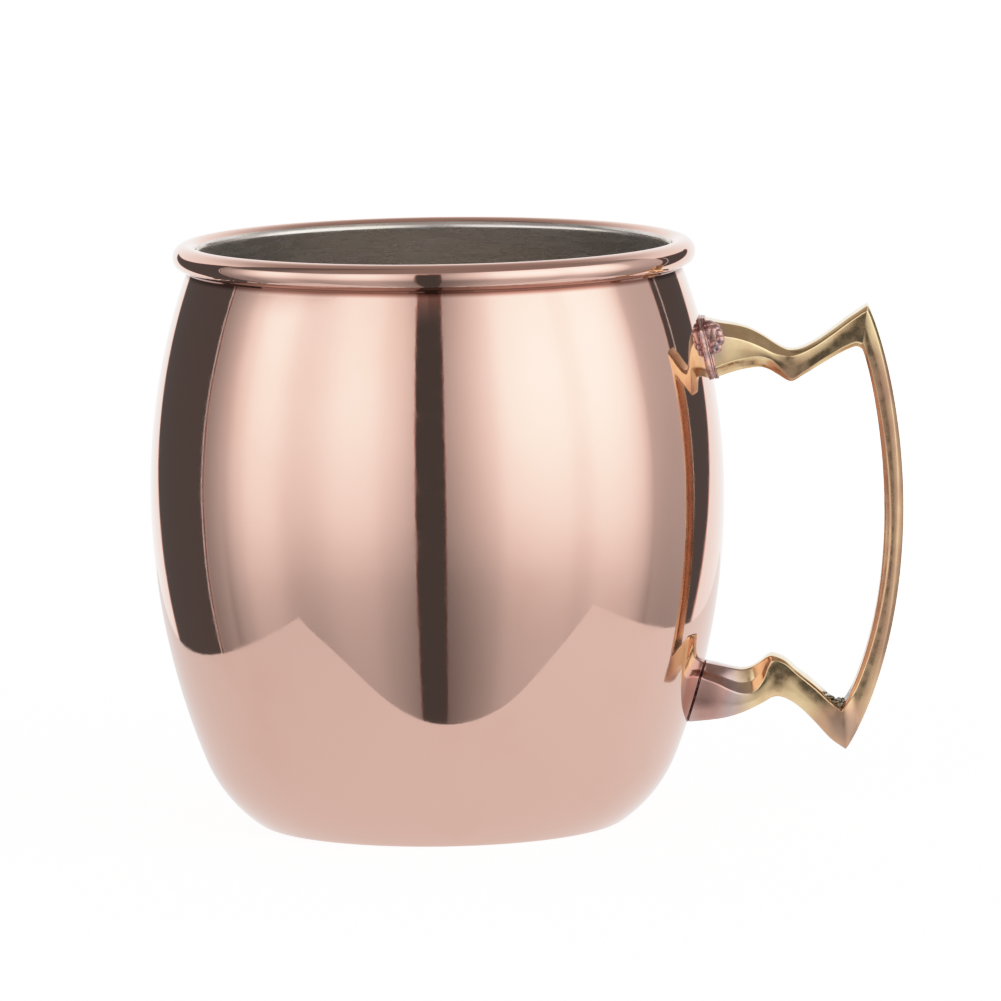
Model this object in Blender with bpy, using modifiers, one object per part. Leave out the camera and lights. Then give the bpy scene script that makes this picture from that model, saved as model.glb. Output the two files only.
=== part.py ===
"""Barrel-shaped copper mug with a rolled rim, a nickel lining and a cast brass handle.

The mug stands on z = 0 with its axis on Z, and the handle reaches out along +X.
Every piece takes its place from the same outline of the copper wall.
"""

import math

import bmesh
import bpy
from mathutils import Vector

MM = 0.001

# Copper cup, measured on its outside
BELLY_RADIUS = 45.0 * MM
BELLY_HEIGHT = 52.0 * MM
SHOULDER_ARC = 102.0 * MM
NECK_HEIGHT = 86.0 * MM
FLANK_ARC = 113.0 * MM
HEEL_HEIGHT = 10.4 * MM
HEEL_ARC = 22.4 * MM
WALL = 0.9 * MM

# Rolled rim: the same sheet curled outwards over the top and tucked in below. The curl's middle is
# placed from the outside of the neck.
CURL_RISE = 3.4 * MM
CURL_INSET = 0.35 * MM
CURL_RADIUS = 2.1 * MM
CURL_END_DEG = -84.0

# Nickel lining, drawn thicker than the real plated coat
LINING = 0.3 * MM
LINING_GAP = 0.3 * MM
LINING_EDGE_DEG = 150.0

# Handle: where its two ends sit on the wall, and the size of its bar
UPPER_SEAT_DROP = 11.8 * MM
LOWER_SEAT_HEIGHT = 20.0 * MM
SEAT_DEPTH = 9.2 * MM
SEAT_WIDTH = 9.0 * MM
SEAT_BEVEL = 2.1 * MM
ARM_WIDTH = 7.4 * MM
GRIP_WIDTH = 6.6 * MM
GRIP_BEVEL = 0.9 * MM
BEVEL_SHARE = 0.25

# Each arm's outer and finger-side edge points, as (out, up) from the middle of its seat
UPPER_ARM = (
    ((3.7 * MM, 3.8 * MM), (4.0 * MM, -3.7 * MM)),
    ((7.4 * MM, 2.6 * MM), (7.6 * MM, -3.1 * MM)),
    ((10.8 * MM, 0.4 * MM), (10.6 * MM, -4.0 * MM)),
    ((13.2 * MM, -0.4 * MM), (13.0 * MM, -5.3 * MM)),
    ((16.0 * MM, 0.4 * MM), (16.0 * MM, -3.7 * MM)),
    ((20.6 * MM, 3.5 * MM), (20.2 * MM, -1.3 * MM)),
    ((25.1 * MM, 6.6 * MM), (23.7 * MM, 0.1 * MM)),
)
LOWER_ARM = (
    ((5.9 * MM, -3.7 * MM), (6.2 * MM, 3.5 * MM)),
    ((9.6 * MM, -2.2 * MM), (9.4 * MM, 4.2 * MM)),
    ((12.7 * MM, -0.9 * MM), (12.3 * MM, 5.6 * MM)),
    ((15.8 * MM, -2.4 * MM), (16.5 * MM, 2.6 * MM)),
    ((19.8 * MM, -6.4 * MM), (20.4 * MM, -0.7 * MM)),
    ((23.2 * MM, -9.7 * MM), (22.5 * MM, -2.5 * MM)),
)

# The grip bows out between the arms' tips, a little more below its middle than above
OUTER_BOW = 7.4 * MM
INNER_BOW = 5.3 * MM
BOW_FULLNESS = 0.84
BOW_SAG = 0.06

# Brazed joints
BRAZE_GAP = 0.3 * MM
BRAZE_LEG = 1.1 * MM

# How finely the round shapes are cut
TURN_STEPS = 56
SHOULDER_STEPS = 6
FLANK_STEPS = 6
HEEL_STEPS = 4
CURL_STEPS = 13
CURL_INSIDE_STEPS = 9
LINING_LIP_STEPS = 4
ARM_STEPS = 2
GRIP_STEPS = 14


def polar(centre, radius, angle):
    return (centre[0] + radius * math.cos(angle), centre[1] + radius * math.sin(angle))


def sweep(centre, radius, start, end, steps):
    """Points on a circle from the start angle to the end angle, both included."""
    return [polar(centre, radius, start + (end - start) * i / steps) for i in range(steps + 1)]


# The wall's outline: a shoulder arc above the belly, a flank arc below it and a heel arc at the foot
SHOULDER_CENTRE = (BELLY_RADIUS - SHOULDER_ARC, BELLY_HEIGHT)
FLANK_CENTRE = (BELLY_RADIUS - FLANK_ARC, BELLY_HEIGHT)
NECK_ANGLE = math.asin((NECK_HEIGHT - BELLY_HEIGHT) / SHOULDER_ARC)
HEEL_ANGLE = -math.asin((BELLY_HEIGHT - HEEL_HEIGHT) / FLANK_ARC)
HEEL_CENTRE = polar(polar(FLANK_CENTRE, FLANK_ARC, HEEL_ANGLE), -HEEL_ARC, HEEL_ANGLE)
NECK = polar(SHOULDER_CENTRE, SHOULDER_ARC, NECK_ANGLE)
CURL_CENTRE = (NECK[0] - CURL_INSET, NECK[1] + CURL_RISE)


def wall_points(inset):
    """The wall's surface this far inside its outside, from the foot up to the neck."""
    foot_angle = math.asin((inset - HEEL_CENTRE[1]) / (HEEL_ARC - inset))
    heel = sweep(HEEL_CENTRE, HEEL_ARC - inset, foot_angle, HEEL_ANGLE, HEEL_STEPS)
    flank = sweep(FLANK_CENTRE, FLANK_ARC - inset, HEEL_ANGLE, 0.0, FLANK_STEPS)
    shoulder = sweep(SHOULDER_CENTRE, SHOULDER_ARC - inset, 0.0, NECK_ANGLE, SHOULDER_STEPS)
    return heel + flank[1:] + shoulder[1:]


def outside_radius(height):
    """The copper wall's outside radius at this height."""
    if height >= BELLY_HEIGHT:
        centre, arc = SHOULDER_CENTRE, SHOULDER_ARC
    elif height >= HEEL_HEIGHT:
        centre, arc = FLANK_CENTRE, FLANK_ARC
    else:
        centre, arc = HEEL_CENTRE, HEEL_ARC
    return centre[0] + math.sqrt(arc**2 - (height - centre[1]) ** 2)


def curl_radius(inset):
    """Radius of the curl's surface that continues the wall's surface at this inset."""
    return CURL_RADIUS - WALL + inset


def curl_start(inset):
    """Angle on the curl at which the straight run from the neck touches it, on the side of the drink."""
    neck = polar(SHOULDER_CENTRE, SHOULDER_ARC - inset, NECK_ANGLE)
    away = (neck[0] - CURL_CENTRE[0], neck[1] - CURL_CENTRE[1])
    return math.atan2(away[1], away[0]) - math.acos(curl_radius(inset) / math.hypot(*away)) + math.tau


def collection(name):
    made = bpy.data.collections.new(name)
    bpy.context.scene.collection.children.link(made)
    return made


def metal(name, colour, roughness):
    material = bpy.data.materials.new(name)
    material.use_nodes = True
    shader = material.node_tree.nodes["Principled BSDF"]
    shader.inputs["Base Color"].default_value = (*colour, 1.0)
    shader.inputs["Metallic"].default_value = 1.0
    shader.inputs["Roughness"].default_value = roughness
    return material


def add_object(name, mesh, material, home):
    mesh.materials.append(material)
    piece = bpy.data.objects.new(name, mesh)
    home.objects.link(piece)
    return piece


def turned(name, profile, material, home):
    """A profile of (radius, height) points that starts and ends on the axis, turned about Z."""
    mesh = bpy.data.meshes.new(name)
    edges = [(i, i + 1) for i in range(len(profile) - 1)]
    mesh.from_pydata([(r, 0.0, z) for r, z in profile], edges, [])
    piece = add_object(name, mesh, material, home)
    turn = piece.modifiers.new("turn", "SCREW")
    turn.axis = "Z"
    turn.steps = TURN_STEPS
    turn.render_steps = TURN_STEPS
    turn.use_merge_vertices = True
    turn.merge_threshold = 0.01 * MM
    turn.use_smooth_shade = True
    return piece


def copper_cup(material, home):
    """The spun cup: flat bottom, barrel wall and the rim curled out of the same sheet."""
    inside = wall_points(WALL)
    outside = wall_points(0.0)
    end = math.radians(CURL_END_DEG)
    over = sweep(CURL_CENTRE, curl_radius(WALL), curl_start(WALL), end, CURL_STEPS)
    under = sweep(CURL_CENTRE, curl_radius(0.0), end, curl_start(0.0), CURL_INSIDE_STEPS)
    profile = [(0.0, WALL)] + inside + over + under + outside[::-1] + [(0.0, 0.0)]
    return turned("copper_cup", profile, material, home)


def nickel_lining(material, home):
    """The coat on the drink's side, from the bottom up and over the inner half of the rim."""

    edge = math.radians(LINING_EDGE_DEG)

    def face(inset):
        lip = sweep(CURL_CENTRE, curl_radius(inset), curl_start(inset), edge, LINING_LIP_STEPS)
        return wall_points(inset) + lip

    back = WALL + LINING_GAP
    front = back + LINING
    profile = [(0.0, front)] + face(front) + face(back)[::-1] + [(0.0, back)]
    return turned("nickel_lining", profile, material, home)


def on_wall(y, z, stand_off):
    """The point at this y and z that stands off the outside of the wall."""
    return Vector((math.sqrt((outside_radius(z) + stand_off) ** 2 - y**2), y, z))


def section(width, bevel):
    """A bevelled bar's section as (share of the way from the finger side to the outer side, y)."""
    half = width / 2
    flat = half - bevel
    right = [(0.0, flat), (BEVEL_SHARE, half), (1.0 - BEVEL_SHARE, half), (1.0, flat)]
    return [(0.0, 0.0)] + right + [(1.0, 0.0)] + [(share, -y) for share, y in right[::-1]]


def seat_ring(height, outer_side, grow, stand_off):
    """The bar's end section laid on the wall round this height, grown by this much all round."""
    ring = section(SEAT_WIDTH + 2 * grow, SEAT_BEVEL + grow * (2.0 - math.sqrt(2.0)))
    depth = outer_side * (SEAT_DEPTH + 2 * grow)
    return [on_wall(y, height + depth * (share - 0.5), stand_off) for share, y in ring]


def bar_ring(outer, inner, width, bevel):
    """The bar's section between its outer and finger-side edge points, each (x, z)."""
    return [
        Vector((inner[0] + (outer[0] - inner[0]) * share, y, inner[1] + (outer[1] - inner[1]) * share))
        for share, y in section(width, bevel)
    ]


def between(a, b, c, d, t):
    """The point this share of the way from b to c on the Catmull-Rom curve through a, b, c and d."""
    bend = (2 * a - 5 * b + 4 * c - d) * t**2
    twist = (3 * b - a - 3 * c + d) * t**3
    return 0.5 * (2 * b + (c - a) * t + bend + twist)


def spline(rings, steps):
    """More rings on a smooth curve through the given ones."""
    ends = [rings[0]] + rings + [rings[-1]]
    made = []
    for four in zip(ends, ends[1:], ends[2:], ends[3:]):
        for step in range(steps):
            made.append([between(*points, step / steps) for points in zip(*four)])
    return made + [rings[-1]]


def arm_rings(seat_height, outer_side, arm):
    """Sections of one arm from its seat on the wall to its tip, and the tip's two edge points."""
    seat_radius = outside_radius(seat_height)
    reach = arm[-1][0][0]
    rings = [seat_ring(seat_height, outer_side, 0.0, BRAZE_GAP)]
    for edges in arm:
        outer, inner = [(seat_radius + out, seat_height + up) for out, up in edges]
        left = 1.0 - edges[0][0] / reach
        width = GRIP_WIDTH + (ARM_WIDTH - GRIP_WIDTH) * left + (SEAT_WIDTH - ARM_WIDTH) * left**4
        bevel = GRIP_BEVEL + (SEAT_BEVEL - GRIP_BEVEL) * left**2
        rings.append(bar_ring(outer, inner, width, bevel))
    return spline(rings, ARM_STEPS), outer, inner


def bowed(start, end, share, bow):
    """The point this share of the way along a bowed edge, pushed out square to its chord."""
    chord = Vector(end) - Vector(start)
    outwards = Vector((-chord.y, chord.x)).normalized()
    push = bow * (4.0 * share * (1.0 - share)) ** BOW_FULLNESS * (1.0 + BOW_SAG * (2.0 * share - 1.0))
    return Vector(start) + chord * share + outwards * push


def handle_rings():
    """Sections of the handle from its upper seat, round the grip, to its lower seat."""
    upper, top_outer, top_inner = arm_rings(NECK_HEIGHT - UPPER_SEAT_DROP, 1.0, UPPER_ARM)
    lower, bottom_outer, bottom_inner = arm_rings(LOWER_SEAT_HEIGHT, -1.0, LOWER_ARM)
    grip = []
    for step in range(1, GRIP_STEPS):
        outer = bowed(top_outer, bottom_outer, step / GRIP_STEPS, OUTER_BOW)
        inner = bowed(top_inner, bottom_inner, step / GRIP_STEPS, INNER_BOW)
        grip.append(bar_ring(outer, inner, GRIP_WIDTH, GRIP_BEVEL))
    return upper + grip + lower[::-1]


def skin(bm, loops, closed):
    """Faces between each loop of vertices and the next, and back to the first if closed."""
    pairs = zip(loops, loops[1:] + loops[:1]) if closed else zip(loops, loops[1:])
    for here, there in pairs:
        for i in range(len(here)):
            j = (i + 1) % len(here)
            bm.faces.new((here[i], here[j], there[j], there[i]))


def lofted(name, rings, closed, material, home):
    """A solid through rings of points; an open one gets a cap at each end, in two halves about y = 0."""
    bm = bmesh.new()
    loops = [[bm.verts.new(point) for point in ring] for ring in rings]
    skin(bm, loops, closed)
    if not closed:
        half = len(rings[0]) // 2
        for loop in (loops[0], loops[-1]):
            bm.faces.new(loop[: half + 1])
            bm.faces.new(loop[half:] + loop[:1])
    bmesh.ops.recalc_face_normals(bm, faces=bm.faces)
    mesh = bpy.data.meshes.new(name)
    bm.to_mesh(mesh)
    bm.free()
    return add_object(name, mesh, material, home)


def braze_joint(name, seat_height, material, home):
    """The fillet of filler metal round the foot of the handle, three-cornered in section."""
    against_handle = seat_ring(seat_height, 1.0, BRAZE_GAP, BRAZE_GAP)
    out_on_wall = seat_ring(seat_height, 1.0, BRAZE_GAP + BRAZE_LEG, BRAZE_GAP)
    up_the_handle = seat_ring(seat_height, 1.0, BRAZE_GAP, BRAZE_GAP + BRAZE_LEG)
    return lofted(name, [against_handle, out_on_wall, up_the_handle], True, material, home)


def main():
    for old in list(bpy.data.objects):
        bpy.data.objects.remove(old)
    home = collection("copper_mug")
    copper = metal("copper", (0.78, 0.50, 0.42), 0.12)
    nickel = metal("nickel", (0.46, 0.44, 0.39), 0.25)
    brass = metal("brass", (0.70, 0.52, 0.27), 0.22)
    filler = metal("filler", (0.62, 0.42, 0.38), 0.35)
    copper_cup(copper, home)
    nickel_lining(nickel, home)
    lofted("brass_handle", handle_rings(), False, brass, home)
    braze_joint("upper_braze_joint", NECK_HEIGHT - UPPER_SEAT_DROP, filler, home)
    braze_joint("lower_braze_joint", LOWER_SEAT_HEIGHT, filler, home)


main()
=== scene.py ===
"""Looks of the copper mug: a spun copper cup with a rolled rim, its nickel lining, a cast brass
handle and the two brazed joints, in a small light tent on a pale floor.

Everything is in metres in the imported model's frame: the mug stands on z = 0 with its axis on Z,
and the handle reaches out along +X.
"""

import math

import bmesh
import bpy
import numpy as np
from mathutils import Matrix, Vector, noise


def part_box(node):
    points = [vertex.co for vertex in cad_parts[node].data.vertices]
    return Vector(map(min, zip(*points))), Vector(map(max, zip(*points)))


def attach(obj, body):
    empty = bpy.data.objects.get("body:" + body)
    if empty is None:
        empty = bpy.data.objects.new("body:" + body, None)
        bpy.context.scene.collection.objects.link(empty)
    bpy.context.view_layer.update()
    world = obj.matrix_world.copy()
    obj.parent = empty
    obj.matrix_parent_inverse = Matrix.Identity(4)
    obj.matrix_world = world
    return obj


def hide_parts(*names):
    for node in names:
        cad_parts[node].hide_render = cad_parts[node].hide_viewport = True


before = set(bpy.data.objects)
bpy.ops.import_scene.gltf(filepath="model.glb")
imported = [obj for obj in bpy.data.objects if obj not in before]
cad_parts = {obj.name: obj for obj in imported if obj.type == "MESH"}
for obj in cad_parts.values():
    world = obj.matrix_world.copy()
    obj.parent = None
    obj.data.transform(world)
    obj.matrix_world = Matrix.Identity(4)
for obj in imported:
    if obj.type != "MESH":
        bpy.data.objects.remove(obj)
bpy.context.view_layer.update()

MM = 0.001
CUP_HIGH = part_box("copper_cup")[1]

# The cup's outline: three tangent arcs up to the neck, and the curl of the rim above it
BELLY_RADIUS = CUP_HIGH.x
BELLY_HEIGHT = 52.0 * MM
SHOULDER_ARC = 102.0 * MM
NECK_HEIGHT = 86.0 * MM
FLANK_ARC = 113.0 * MM
HEEL_HEIGHT = 10.4 * MM
HEEL_ARC = 22.4 * MM
WALL = 0.9 * MM
CURL_RADIUS = 2.1 * MM
CURL_INSET = 0.35 * MM
CURL_HEIGHT = CUP_HIGH.z - CURL_RADIUS


def polar(centre, radius, angle):
    return (centre[0] + radius * math.cos(angle), centre[1] + radius * math.sin(angle))


SHOULDER_CENTRE = (BELLY_RADIUS - SHOULDER_ARC, BELLY_HEIGHT)
FLANK_CENTRE = (BELLY_RADIUS - FLANK_ARC, BELLY_HEIGHT)
NECK_ANGLE = math.asin((NECK_HEIGHT - BELLY_HEIGHT) / SHOULDER_ARC)
HEEL_ANGLE = -math.asin((BELLY_HEIGHT - HEEL_HEIGHT) / FLANK_ARC)
HEEL_CENTRE = polar(polar(FLANK_CENTRE, FLANK_ARC, HEEL_ANGLE), -HEEL_ARC, HEEL_ANGLE)
NECK = polar(SHOULDER_CENTRE, SHOULDER_ARC, NECK_ANGLE)
CURL_CENTRE = (NECK[0] - CURL_INSET, CURL_HEIGHT)


def outside_radius(height):
    """The copper wall's outside radius at this height."""
    if height >= BELLY_HEIGHT:
        centre, arc = SHOULDER_CENTRE, SHOULDER_ARC
    elif height >= HEEL_HEIGHT:
        centre, arc = FLANK_CENTRE, FLANK_ARC
    else:
        centre, arc = HEEL_CENTRE, HEEL_ARC
    return centre[0] + math.sqrt(arc**2 - (height - centre[1]) ** 2)


def sweep(centre, radius, start, end, steps):
    """Points on a circle from the start angle to the end angle, both included."""
    return [polar(centre, radius, start + (end - start) * i / steps) for i in range(steps + 1)]


def bend(start, corner, end, share):
    """A point this share of the way round a bend from start to end that heads for the corner."""
    back = 1 - share
    return tuple(
        a * back**2 + b * 2 * share * back + c * share**2 for a, b, c in zip(start, corner, end)
    )


def wall_points(inset, fineness):
    """The wall's surface this far inside its outside, from the foot up to the neck."""
    foot_angle = math.asin((inset - HEEL_CENTRE[1]) / (HEEL_ARC - inset))
    heel = sweep(HEEL_CENTRE, HEEL_ARC - inset, foot_angle, HEEL_ANGLE, 2 * fineness)
    flank = sweep(FLANK_CENTRE, FLANK_ARC - inset, HEEL_ANGLE, 0.0, 3 * fineness)
    shoulder = sweep(SHOULDER_CENTRE, SHOULDER_ARC - inset, 0.0, NECK_ANGLE, 3 * fineness)
    return heel + flank[1:] + shoulder[1:]


# ---------------------------------------------------------------- meshes


def shaded_smooth(mesh, sharp_deg=40.0):
    mesh.shade_smooth()
    mesh.set_sharp_from_angle(angle=math.radians(sharp_deg))


def add_piece(name, mesh, material, slot, *nodes):
    """A finished piece of the mug that stands for these CAD nodes."""
    mesh.materials.append(material)
    piece = bpy.data.objects.new(name, mesh)
    bpy.context.scene.collection.objects.link(piece)
    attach(piece, "root")
    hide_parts(*nodes)
    return piece


def turned_mesh(name, profile, steps, shift=None):
    """A profile of (radius, height) from one point on the axis to another, turned about Z.

    shift(angle, index) gives a small (radius, height) change to a point of the profile.
    """
    bm = bmesh.new()
    first = bm.verts.new((0.0, 0.0, profile[0][1]))
    last = bm.verts.new((0.0, 0.0, profile[-1][1]))
    rings = []
    for index, (radius, height) in enumerate(profile[1:-1]):
        ring = []
        for step in range(steps):
            angle = math.tau * step / steps
            out, up = shift(angle, index) if shift else (0.0, 0.0)
            reach = radius + out
            place = (reach * math.cos(angle), reach * math.sin(angle), height + up)
            ring.append(bm.verts.new(place))
        rings.append(ring)
    for step in range(steps):
        after = (step + 1) % steps
        bm.faces.new((first, rings[0][step], rings[0][after]))
        bm.faces.new((last, rings[-1][after], rings[-1][step]))
        for low, high in zip(rings, rings[1:]):
            bm.faces.new((low[step], high[step], high[after], low[after]))
    bmesh.ops.recalc_face_normals(bm, faces=bm.faces)
    mesh = bpy.data.meshes.new(name)
    bm.to_mesh(mesh)
    bm.free()
    return mesh


# ---------------------------------------------------------------- materials


class Nodes:
    """Short ways to build one node tree."""

    def __init__(self, tree):
        self.tree = tree

    def add(self, kind, **values):
        node = self.tree.nodes.new(kind)
        for key, value in values.items():
            setattr(node, key, value)
        return node

    def link(self, source, target):
        self.tree.links.new(source, target)

    def feed(self, socket, value):
        """Puts a number, a colour or another node's output into a socket."""
        if isinstance(value, tuple):
            socket.default_value = (*value, 1.0)
        elif isinstance(value, (int, float)):
            socket.default_value = value
        else:
            self.link(value, socket)

    def place(self, scale):
        """Object coordinates in millimetres, stretched by a scale for each axis."""
        coordinate = self.add("ShaderNodeTexCoord")
        mapping = self.add("ShaderNodeMapping")
        mapping.inputs["Scale"].default_value = [value / MM for value in scale]
        self.link(coordinate.outputs["Object"], mapping.inputs["Vector"])
        return mapping.outputs["Vector"]

    def noise(self, scale, detail=2.0, roughness=0.5, distortion=0.0):
        """Noise with this many waves a millimetre along each axis."""
        texture = self.add("ShaderNodeTexNoise")
        texture.inputs["Scale"].default_value = 1.0
        texture.inputs["Detail"].default_value = detail
        texture.inputs["Roughness"].default_value = roughness
        texture.inputs["Distortion"].default_value = distortion
        self.link(self.place(scale), texture.inputs["Vector"])
        return texture.outputs["Fac"]

    def remap(self, value, low, high, to_low=0.0, to_high=1.0):
        """Eases from to_low to to_high while the value goes from low to high."""
        node = self.add("ShaderNodeMapRange", interpolation_type="SMOOTHSTEP")
        self.feed(node.inputs["Value"], value)
        limits = {"From Min": low, "From Max": high, "To Min": to_low, "To Max": to_high}
        for key, number in limits.items():
            self.feed(node.inputs[key], number)
        return node.outputs["Result"]

    def band(self, value, rise, fall, peak=1.0):
        """Eases up to the peak over the rise's two values, and back to 0 over the fall's."""
        return self.math("MULTIPLY", self.remap(value, *rise), self.remap(value, *fall, peak, 0.0))

    def math(self, operation, first, second=0.0):
        node = self.add("ShaderNodeMath", operation=operation)
        self.feed(node.inputs[0], first)
        self.feed(node.inputs[1], second)
        return node.outputs["Value"]

    def blend(self, share, first, second):
        """A number between two."""
        node = self.add("ShaderNodeMix", data_type="FLOAT")
        self.feed(node.inputs["Factor"], share)
        self.feed(node.inputs["A"], first)
        self.feed(node.inputs["B"], second)
        return node.outputs["Result"]

    def curve(self, value, points):
        """A smooth curve through (input, output) points, level beyond both ends."""
        low, high = points[0][0], points[-1][0]
        top = max(output for _, output in points)
        ramp = self.add("ShaderNodeFloatCurve")
        line = ramp.mapping.curves[0]
        places = [((place - low) / (high - low), output / top) for place, output in points]
        line.points[0].location = places[0]
        line.points[1].location = places[-1]
        for place in places[1:-1]:
            line.points.new(*place)
        ramp.mapping.update()
        scaled = self.add("ShaderNodeMapRange")
        self.feed(scaled.inputs["Value"], value)
        scaled.inputs["From Min"].default_value = low
        scaled.inputs["From Max"].default_value = high
        self.link(scaled.outputs["Result"], ramp.inputs["Value"])
        return self.math("MULTIPLY", ramp.outputs["Value"], top)

    def height(self):
        """Height above the base in millimetres, at each point of the surface."""
        coordinate = self.add("ShaderNodeTexCoord")
        split = self.add("ShaderNodeSeparateXYZ")
        self.link(coordinate.outputs["Object"], split.inputs["Vector"])
        return self.math("MULTIPLY", split.outputs["Z"], 1.0 / MM)

    def attribute(self, name):
        return self.add("ShaderNodeAttribute", attribute_name=name).outputs["Fac"]

    def mix(self, share, first, second):
        """A colour between two."""
        node = self.add("ShaderNodeMix", data_type="RGBA")
        self.feed(node.inputs["Factor"], share)
        colours = [socket for socket in node.inputs if socket.type == "RGBA"]
        self.feed(colours[0], first)
        self.feed(colours[1], second)
        return next(socket for socket in node.outputs if socket.type == "RGBA")


class Metal(Nodes):
    """A metal's material."""

    def __init__(self, name):
        self.material = bpy.data.materials.new(name)
        self.material.use_nodes = True
        super().__init__(self.material.node_tree)
        self.shader = self.tree.nodes["Principled BSDF"]
        self.shader.inputs["Metallic"].default_value = 1.0

    def finish(self, colour, roughness, *layers):
        """Sets colour, roughness and height layers, each (output, depth in millimetres)."""
        self.feed(self.shader.inputs["Base Color"], colour)
        self.feed(self.shader.inputs["Roughness"], roughness)
        normal = None
        for height, depth in layers:
            bump = self.add("ShaderNodeBump")
            bump.inputs["Strength"].default_value = 1.0
            bump.inputs["Distance"].default_value = depth * MM
            self.link(height, bump.inputs["Height"])
            if normal is not None:
                self.link(normal, bump.inputs["Normal"])
            normal = bump.outputs["Normal"]
        self.link(normal, self.shader.inputs["Normal"])
        return self.material


COPPER = (0.70, 0.452, 0.38)
COPPER_TARNISHED = (0.62, 0.36, 0.28)
# Painted shade: the near-black brown laid into the crease under the rolled rim
COPPER_PAINTED_SHADE = (0.22, 0.09, 0.065)
NICKEL = (0.69, 0.64, 0.61)
NICKEL_STAINED = (0.67, 0.625, 0.56)
BRASS = (0.78, 0.585, 0.34)
BRASS_OLD = (0.70, 0.49, 0.28)
BRASS_MAUVE = (0.56, 0.345, 0.22)
BRASS_DULL = (0.38, 0.25, 0.18)
BRASS_SKIN = (0.20, 0.17, 0.12)
HEAT_LILAC = (0.44, 0.345, 0.40)
HEAT_RED = (0.46, 0.27, 0.235)
FILLER = (0.60, 0.37, 0.33)
FILLER_DARK = (0.34, 0.235, 0.245)

# Heights in millimetres over which the painted shade in the corner under the rim, and the pits,
# begin and end
RIM_SHADE_BEGINS = (86.2, 87.0)
RIM_SHADE_ENDS = (87.4, 87.65)
RIM_SHADE_SHARE = 0.95
PITS_BEGIN = (84.9, 86.4)
PITS_END = (88.1, 88.5)

# How far the heavy tarnish at the handle's lower tip takes the brass to its dull colour
DULL_FROM = 0.95
DULL_TO = 1.35


def copper_material():
    """Spun and polished copper: turning lines, faint waves, smears, pits by the rolled rim, and a
    painted shade in the corner under the rim.
    """
    m = Metal("polished_copper")
    tarnish = m.remap(m.noise((0.06, 0.06, 0.05), detail=3.0), 0.5, 0.8, 0.0, 0.25)
    colour = m.mix(tarnish, COPPER, COPPER_TARNISHED)
    # Painted shade: the copper turns near-black brown in the crease where the rolled rim meets the
    # neck, standing in for the shade under the rim
    corner = m.band(m.height(), RIM_SHADE_BEGINS, RIM_SHADE_ENDS, RIM_SHADE_SHARE)
    colour = m.mix(corner, colour, COPPER_PAINTED_SHADE)
    smears = m.remap(m.noise((0.12, 0.12, 0.5), detail=4.0), 0.35, 0.75, 0.03, 0.075)
    spun_lines = m.noise((0.05, 0.05, 6.0), detail=3.0, roughness=0.6)
    polish_marks = m.noise((1.4, 1.4, 0.9), detail=2.0)
    waves = m.noise((0.16, 0.16, 0.12), detail=1.0)
    combing = m.noise((2.2, 2.2, 0.35), detail=3.0)
    pits = m.remap(m.noise((2.4, 2.4, 2.4), detail=3.0), 0.6, 0.8)
    specks = m.math("MULTIPLY", pits, m.band(m.height(), PITS_BEGIN, PITS_END))
    layers = (
        (waves, 0.012),
        (polish_marks, 0.0012),
        (combing, 0.0008),
        (spun_lines, 0.0004),
        (specks, -0.003),
    )
    return m.finish(colour, smears, *layers)


def nickel_material():
    """Brushed nickel with faint stains."""
    m = Metal("nickel_lining")
    stain = m.remap(m.noise((0.07, 0.07, 0.12), detail=3.0, distortion=0.6), 0.35, 0.7)
    colour = m.mix(stain, NICKEL, NICKEL_STAINED)
    rough = m.remap(m.noise((0.2, 0.2, 1.2), detail=3.0), 0.3, 0.75, 0.2, 0.36)
    brushed = m.noise((0.1, 0.1, 7.0), detail=3.0, roughness=0.6)
    waves = m.noise((0.2, 0.2, 0.25), detail=1.0)
    m.shader.inputs["Metallic"].default_value = 0.85
    return m.finish(colour, rough, (waves, 0.03), (brushed, 0.003))


def brass_material():
    """Cast brass: pale where polished, mauve where hands tarnish it, lilac where it was heated."""
    m = Metal("cast_brass")
    patches = m.remap(m.noise((0.35, 0.35, 0.35), detail=3.0), 0.35, 0.7)
    colour = m.mix(patches, BRASS, BRASS_OLD)
    tarnish = m.attribute("tarnish")
    colour = m.mix(tarnish, colour, BRASS_MAUVE)
    colour = m.mix(m.remap(tarnish, DULL_FROM, DULL_TO), colour, BRASS_DULL)
    heat = m.attribute("heat_tint")
    colour = m.mix(heat, colour, m.mix(m.remap(heat, 0.7, 1.0), HEAT_LILAC, HEAT_RED))
    colour = m.mix(m.attribute("rough_cast"), colour, BRASS_SKIN)
    rough = m.remap(m.noise((0.6, 0.6, 0.6), detail=3.0), 0.3, 0.75, 0.12, 0.24)
    rough = m.math("ADD", rough, m.math("MULTIPLY", tarnish, 0.12))
    pits = m.noise((1.5, 1.5, 1.5), detail=3.0)
    cast = m.math("MULTIPLY", m.noise((1.2, 1.2, 1.2), detail=3.0), m.attribute("rough_cast"))
    return m.finish(colour, rough, (pits, 0.004), (cast, 0.14))


def filler_material():
    """Braze metal: coppery, browned and pitted."""
    m = Metal("braze_filler")
    patches = m.remap(m.noise((0.7, 0.7, 0.7), detail=3.0), 0.42, 0.62)
    colour = m.mix(patches, FILLER, FILLER_DARK)
    rough = m.remap(m.noise((1.0, 1.0, 1.0), detail=2.0), 0.3, 0.7, 0.18, 0.4)
    pits = m.noise((1.8, 1.8, 1.8), detail=3.0)
    return m.finish(colour, rough, (pits, 0.018))


# ---------------------------------------------------------------- cup and lining

CUP_STEPS = 512
LINING_STEPS = 256
NECK_TOP = 87.1 * MM
LINING_EDGE_DEG = 140.0
LINING_LIFT = 0.04 * MM
LINING_THICKNESS = 0.1 * MM

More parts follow.
